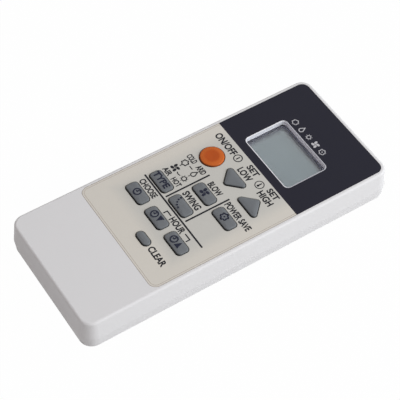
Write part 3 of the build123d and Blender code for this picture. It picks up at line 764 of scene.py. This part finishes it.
# places, sizes and widths in mm
keyMarks = {
    "fan_key": onKey(rotor, -0.25, 0.85, 4.2),
    "eco_key": onKey(flake, 13.85, 0.85, 3.9, 0.6) + onKey(dot, 13.85, 0.85, 0.4),
    "timer_set_key": onKey(clock, -14.5, -21.3, 3.5, 0.55),
    "timer_down_key": onKey(clock, -1.65, -21.3, 3.5, 0.55) + onKey(arrow, 1.5, -21.1, 3.0, -1),
    "timer_up_key": onKey(clock, 12.5, -21.3, 3.5, 0.55) + onKey(arrow, 15.7, -21.2, 3.0, 1),
    "swing_key": swingMarks(),
    "mode_key": [lettering("TYPE", -19.0, -10.0, -11.6, -8.7, markLow, markTop, weight=0.03)],
}
for name, parts in keyMarks.items():
    makePiece(name + "_mark", joined(parts), inks["key ink"], name)
print("key marks:", len(keyMarks))


filmTop = boxInMm("face_film")[1][2]
filmInk = {
    "sunk": 0.02, "proud": 0.03,                                # mm under and over the film's top
    "weight": 0.034,                                            # how bold the words are
    "ruleWidth": 0.72, "linkWidth": 0.42, "bracketWidth": 0.5,  # mm
}
inkLow = filmTop - filmInk["sunk"]
inkHigh = filmTop + filmInk["proud"]


def words(text, x0, x1, y0, y1):
    # a word printed on the film
    return lettering(text, x0, x1, y0, y1, inkLow, inkHigh, filmInk["weight"])


def rules(width, *paths):
    # straight or bent lines printed on the film
    return [line(path, width, inkLow, inkHigh) for path in paths]


def picture(maker, x, y, size, *more):
    # a picture printed on the film
    return maker(x, y, size, *more, inkLow, inkHigh)


# places, sizes and widths in mm from the middle of the handset
filmLegends = {
    "power_legend": [words("ON/OFF", -23.1, -10.4, 20.3, 23.6)] + picture(powerMark, -8.05, 21.9, 3.9, 0.42),
    "temperature_legend": [words("SET", -2.6, 3.6, 22.0, 24.8), words("LOW", -3.5, 4.0, 18.1, 21.2),
                           words("SET", 11.4, 17.5, 22.0, 24.8), words("HIGH", 10.4, 18.4, 18.1, 21.2)]
    + picture(thermometer, 7.64, 21.6, 4.1, 0.42),
    "mode_legend": [words("COLD", -20.0, -15.0, 4.8, 7.4), words("ARID", -13.2, -8.4, 4.8, 7.4),
                    words("AIR", -19.6, -15.1, -6.8, -4.3), words("HOT", -13.4, -8.4, -6.8, -4.3)]
    + picture(flake, -17.3, 2.7, 3.5, 0.46) + picture(drop, -10.6, 2.7, 3.2, 0.46)
    + picture(rotor, -17.3, -2.0, 4.1) + picture(sun, -10.7, -2.0, 3.3, 0.46),
    "mode_links": rules(filmInk["linkWidth"], [(-14.9, 3.3), (-12.9, 3.3)],
                        [(-15.1, -2.4), (-14.4, -2.7), (-13.6, -2.7), (-12.9, -2.4)],
                        [(-17.2, 0.8), (-17.2, 0.1)], [(-10.9, 0.8), (-10.9, 0.1)]),
    "fan_legend": [words("BLOW", -3.6, 3.9, 4.1, 7.1)],
    "swing_legend": [words("SWING", -5.0, 5.1, -6.8, -3.7)],
    "eco_legend": [words("POWER SAVE", 8.4, 23.8, 4.2, 7.2)],
    "timer_set_legend": [words("CHOOSE", -19.3, -8.8, -17.9, -15.1)],
    "timer_legend": [words("HOUR", 3.0, 11.4, -18.0, -15.0)]
    + rules(filmInk["bracketWidth"], [(-0.7, -17.9), (-0.7, -16.1), (2.1, -16.1)],
            [(12.3, -16.1), (15.5, -16.1), (15.5, -17.9)]),
    "reset_legend": [words("CLEAR", 10.4, 20.6, -32.3, -29.3)],
    "printed_rules": rules(filmInk["ruleWidth"], [(-6.9, -12.9), (-6.9, 7.6)], [(7.3, -12.9), (7.3, 7.6)],
                           [(-20.7, -14.1), (21.1, -14.1)]),
}
for name, parts in filmLegends.items():
    makePiece(name, joined(parts), inks["dark ink"], "case")


filmLines = {
    "insets": (0.08, 0.85), "width": 0.13, "corner": 3.3, "proud": 0.01,        # mm
    "cornerSteps": 12,
}


def filmLine(inset):
    # down one side of the pale end, round its two low corners and up the other side
    low, high = boxInMm("face_film")
    r = filmLines["corner"] - inset
    x = high[0] - filmLines["corner"]
    y = low[1] + filmLines["corner"]
    border = filmPrint["border"] / mm
    path = [(x + r, border), *circlePoints(x, y, r, filmLines["cornerSteps"], 0.0, -0.25),
            *circlePoints(-x, y, r, filmLines["cornerSteps"], 0.75, -0.25), (-x - r, border)]
    return line(path, filmLines["width"], inkLow, filmTop + filmLines["proud"])


# the outer line, at the film's very edge, is painted shade of the gap round the film; the inner one is
# printed
lineParts = [filmLine(inset) for inset in filmLines["insets"]]
makePiece("film_lines_and_edge_shade", joined(lineParts), inks["brown line and edge shade"], "case")

iconRow = 52.45                         # mm, along the display's high end
displayIcons = (picture(flake, -11.4, iconRow, 3.3, 0.33) + picture(drop, -6.7, iconRow, 3.0, 0.38)
                + picture(sun, -2.0, iconRow, 2.9, 0.34) + picture(rotor, 2.6, iconRow, 3.6)
                + picture(flake, 7.2, iconRow, 3.3, 0.33) + picture(dot, 7.2, iconRow, 0.28))
makePiece("display_icons", joined(displayIcons), inks["pale ink"], "case")
print("film legends:", len(filmLegends) + 1)


cellShape = {
    # distance from the flat end and radius, mm
    "profile": [(0.0, 0.6), (0.0, 3.3), (0.35, 3.45), (0.4, 3.9), (0.12, 4.2), (0.1, 4.6), (0.3, 4.95),
                (0.8, 5.1), (0.95, 5.25), (42.75, 5.25), (42.95, 5.1), (43.4, 5.0), (43.65, 4.65),
                (43.6, 4.2), (43.35, 3.9), (43.3, 2.2), (43.45, 1.92), (44.25, 1.9), (44.45, 1.7),
                (44.5, 1.4), (44.5, 0.5)],
    "around": 64,
    "sharpFrom": 35,                    # degrees between two faces that meet in a sharp edge
    "jacket": screen(46, 84, 98), "band": screen(206, 208, 210), "bare": screen(205, 203, 198),
    "jacketFrom": 0.0009, "bandFrom": 0.0335, "bandTo": 0.0362, "jacketTo": 0.0429,     # metres
    "patchSize": 0.003, "patchDetail": 4.0, "mottle": 0.1,
    "plusAt": 39.5, "minusAt": 5.0,     # mm from the flat end
    "markWide": 0.9, "markLong": 3.2, "markSunk": 0.02, "markProud": 0.03,              # mm
    "markSteps": 9,
}


def makeCellFinish(tipX, length, middleY):
    # printed jacket between bare steel ends, with one pale band near the plus end; the cell on the far side
    # of middleY points the other way
    material, tree, shader, place = newFinish("cell jacket print")
    x, y = axes(tree, place)[:2]
    sign = spread(tree, above(tree, y, middleY), -1.0, 1.0)
    along = math(tree, "ADD", math(tree, "MULTIPLY", x, sign), length - tipX)
    jacket = between(tree, along, cellShape["jacketFrom"], cellShape["jacketTo"])
    band = between(tree, along, cellShape["bandFrom"], cellShape["bandTo"])
    patch = noise(tree, place, cellShape["patchSize"], cellShape["patchDetail"])
    base = mixColour(tree, patch, shaded(cellShape["jacket"], 1 - cellShape["mottle"]),
                     shaded(cellShape["jacket"], 1 + cellShape["mottle"]))
    base = mixColour(tree, band, base, cellShape["band"])
    tree.links.new(mixColour(tree, jacket, cellShape["bare"], base), shader.inputs["Base Color"])
    tree.links.new(math(tree, "SUBTRACT", 1.0, jacket), shader.inputs["Metallic"])
    surface(tree, shader, place, roughness=0.28, spreadBy=0.08, grain=0.2, grainSize=0.0008,
            grainDepth=0.00002, specular=0.5)
    return material


def makeCells():
    # a profile turned about each cell's axis, and the two marks bent round its jacket on the door's side
    low, high = boxInMm("cells")
    stations, radii = np.array(cellShape["profile"]).T[:, :, None]
    radius, length = radii.max(), stations.max()
    flatX = high[0] - length
    axisZ = (low[2] + high[2]) / 2
    finish = makeCellFinish(high[0] * mm, length * mm, (low[1] + high[1]) / 2 * mm)
    angle = turn * np.linspace(0, 1, cellShape["around"], endpoint=False)
    wide, long = cellShape["markWide"] / 2, cellShape["markLong"] / 2
    bars = [(cellShape["plusAt"], long, wide), (cellShape["plusAt"], wide, long),
            (cellShape["minusAt"], wide, long)]
    markLevels = (radius - cellShape["markSunk"], radius + cellShape["markProud"])
    markParts = []
    for name, sign, axisY in (("low_cell", -1, low[1] + radius), ("high_cell", 1, high[1] - radius)):
        x = np.repeat(sign * (flatX + stations), len(angle), 1)
        turned = np.stack([x, axisY + radii * np.cos(angle), axisZ + radii * np.sin(angle)], -1)
        piece = makePiece(name, carried(turned), finish, "case", smooth=True)
        piece.data.set_sharp_from_angle(angle=np.radians(cellShape["sharpFrom"]))
        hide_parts("cells")
        for middle, halfAlong, halfAround in bars:
            bend = np.linspace(-halfAround, halfAround, cellShape["markSteps"]) / radius - np.pi / 2
            corners = [(-halfAlong, markLevels[0]), (halfAlong, markLevels[0]),
                       (halfAlong, markLevels[1]), (-halfAlong, markLevels[1])]
            grid = [[(sign * (flatX + middle + along), axisY + r * np.cos(a), axisZ + r * np.sin(a))
                     for along, r in corners] for a in bend]
            markParts.append(carried(np.array(grid)))
    makePiece("cell_marks", joined(markParts), inks["pale ink"], "case")


makeCells()
print("cells ready")


doorMark = {"middleY": -62.0, "width": 8.0, "depth": 5.0, "line": 0.7, "proud": 0.1, "sunk": 0.05}      # mm


def makeDoorMark():
    # raised outline of an arrow head that points the way the door slides
    level = boxInMm("battery_door")[0][2]
    half, tip = doorMark["width"] / 2, doorMark["depth"] / 2
    back, front = doorMark["middleY"] + tip, doorMark["middleY"] - tip
    outline = line([(-half, back), (half, back), (0, front)], doorMark["line"], level - doorMark["proud"],
                   level + doorMark["sunk"], closed=True)
    makePiece("door_arrow", outline, finishes["white_plastic"], "door")


makeDoorMark()
print("door mark ready")


studio = {
    "darkSide": 0.40, "brightSide": 0.60,       # world strength towards -Y and towards +Y
    "darkTint": (1.0, 0.905, 0.885, 1), "brightTint": (0.98, 0.99, 1.0, 1),
    "keyPower": 9.3, "keyPlace": (0.745, 0.66, 0.60), "keySide": 0.7, "keyColour": (0.96, 0.98, 1.0),
    "floorSide": 6.0, "floorLevel": -0.0001, "floorHide": 0.988, "floorColour": (0.58, 0.58, 0.58, 1),
    "cameraPlace": (0.273171, -0.189380, 0.447384), "cameraAim": (-0.003146, 0.000800, 0.0075),
    "cameraRoll": 2.05, "lens": 125.25, "sensor": 36, "nearest": 0.01,
}


def seenDirectly(tree):
    # 1 for rays from the camera, and for those that a mirror or glass passes on
    path = put(tree, "LightPath")
    share = math(tree, "MAXIMUM", path.outputs["Is Camera Ray"], path.outputs["Is Glossy Ray"])
    return math(tree, "MAXIMUM", share, path.outputs["Is Transmission Ray"])


def makeWorld():
    # soft light all round, a little dimmer and warmer from the low end
    world = bpy.data.worlds.new("studio")
    world.use_nodes = True
    tree = world.node_tree
    tree.nodes.clear()
    towards = axes(tree, put(tree, "TexCoord").outputs["Generated"])[1]
    share = spread(tree, towards, 0.0, 1.0, -1.0, 1.0)
    dim = put(tree, "Background", {"Color": mixColour(tree, share, studio["darkTint"], studio["brightTint"]),
                                   "Strength": spread(tree, share, studio["darkSide"], studio["brightSide"])})
    white = put(tree, "Background", {"Color": (1, 1, 1, 1), "Strength": 1.0})
    mixShader(tree, "World", seenDirectly(tree), dim, white)
    bpy.context.scene.world = world


def makeFloor():
    # just below the rest face, so that the two never fall in one plane
    half, level = studio["floorSide"] / 2, studio["floorLevel"]
    corners = [(-half, -half, level), (half, -half, level), (half, half, level), (-half, half, level)]
    mesh = bpy.data.meshes.new("floor")
    mesh.from_pydata(corners, [], [(0, 1, 2, 3)])
    floor = bpy.data.objects.new("floor", mesh)
    bpy.context.scene.collection.objects.link(floor)
    material, tree = emptyMaterial("floor")
    matte = put(tree, "BsdfDiffuse", {"Color": studio["floorColour"]})
    white = put(tree, "Emission", {"Color": (1, 1, 1, 1), "Strength": 1.0})
    mixShader(tree, "Material", math(tree, "MULTIPLY", seenDirectly(tree), studio["floorHide"]), matte, white)
    mesh.materials.append(material)


def aimed(place, aim, roll=0.0):
    # an object's matrix: its -Z looks from place to aim, then it turns about that line
    look = (Vector(aim) - Vector(place)).normalized()
    turned = look.to_track_quat("-Z", "Y").to_matrix().to_4x4() @ Matrix.Rotation(np.radians(roll), 4, "Z")
    return Matrix.Translation(place) @ turned


def makeLamp():
    # one soft box, high up beyond the right corner of the display end
    lamp = bpy.data.lights.new("soft box", "AREA")
    lamp.size = studio["keySide"]
    lamp.energy = studio["keyPower"]
    lamp.color = studio["keyColour"]
    holder = bpy.data.objects.new("soft box", lamp)
    holder.matrix_world = aimed(studio["keyPlace"], (0, 0, 0))
    bpy.context.scene.collection.objects.link(holder)


def makeCamera():
    # the photograph's own view
    data = bpy.data.cameras.new("camera")
    data.lens = studio["lens"]
    data.sensor_width = studio["sensor"]
    data.clip_start = studio["nearest"]
    camera = bpy.data.objects.new("camera", data)
    camera.matrix_world = aimed(studio["cameraPlace"], studio["cameraAim"], studio["cameraRoll"])
    bpy.context.scene.collection.objects.link(camera)
    bpy.context.scene.camera = camera


makeWorld()
makeFloor()
makeLamp()
makeCamera()
bpy.context.scene.view_settings.view_transform = "Standard"
print("studio ready")
